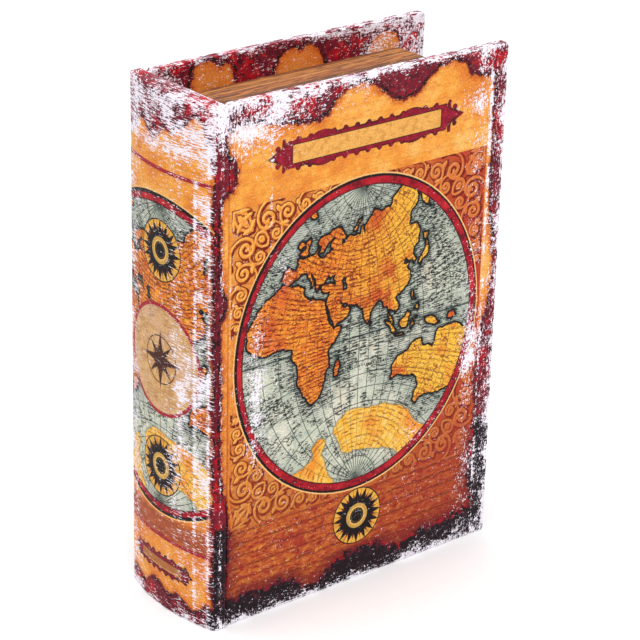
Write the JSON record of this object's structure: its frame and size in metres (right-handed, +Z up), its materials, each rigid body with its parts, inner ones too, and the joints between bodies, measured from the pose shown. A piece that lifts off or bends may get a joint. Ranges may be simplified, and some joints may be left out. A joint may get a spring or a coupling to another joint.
{
  "type": "book diversion safe",
  "caption": "Safe disguised as an old bound book standing upright: a cover on a cloth hinge hides a steel box with a hinged lid and a cam lock inside a false block of pages.",
  "frame": {"origin": "centre of the overall box, on the plane the book stands on", "axes": "+Z up along the spine, +X across the covers from the spine to the fore-edge, +Y from the front cover to the back cover"},
  "size_m": [0.1434, 0.054, 0.21],
  "materials": {
    "covering": "matt bookcloth printed with an old map in amber, maroon and grey-green, worn white at the edges",
    "lining": "matt paper-backed cloth",
    "page_edge": "fibreboard grooved and stained like page edges",
    "black_steel": "fine textured powder coat",
    "felt": "short felt",
    "bright_steel": "zinc plated",
    "nickel": "nickel plated, polished",
    "brass": "stamped brass"
  },
  "bodies": {
    "book": {"back_cover_board": "covering", "spine_board": "covering", "back_groove_cloth": "covering", "front_groove_cloth": "covering", "page_wall_head": "page_edge", "page_wall_tail": "page_edge", "page_wall_spine": "page_edge", "page_wall_fore_edge": "page_edge", "magnet_upper": "nickel", "magnet_lower": "nickel", "steel_box": "black_steel", "felt_pad": "felt", "box_screw_1": "bright_steel", "box_screw_2": "bright_steel", "box_screw_3": "bright_steel", "box_screw_4": "bright_steel", "box_hinge_leaf": "black_steel", "hinge_pin": "bright_steel", "lock_strike": "bright_steel", "key_1": "brass", "key_2": "brass"},
    "front_cover": {"front_cover_board": "covering", "front_cover_lining": "lining", "keeper_upper": "bright_steel", "keeper_lower": "bright_steel"},
    "lid": {"safe_lid": "black_steel", "lid_hinge_leaf": "black_steel", "lock_barrel": "nickel", "lock_nut": "bright_steel"},
    "lock_cylinder": {"lock_plug": "nickel", "lock_cam": "bright_steel", "cam_screw": "bright_steel"}
  },
  "joints": [
    {"name": "cover_hinge", "type": "hinge", "parent": "book", "child": "front_cover", "pos_m": [-0.0618, -0.027, 0.105], "axis": [0, 0, -1], "range_deg": [0, 180]},
    {"name": "lid_hinge", "type": "hinge", "parent": "book", "child": "lid", "pos_m": [-0.053, -0.0194, 0.105], "axis": [0, 0, -1], "range_deg": [0, 99]},
    {"name": "lock_turn", "type": "hinge", "parent": "lid", "child": "lock_cylinder", "pos_m": [0.0326, -0.0212, 0.105], "axis": [0, -1, 0], "range_deg": [0, 90]}
  ],
  "couplings": [
    {"joint": "lid_hinge", "follows": "cover_hinge", "ratio": 0.55}
  ]
}
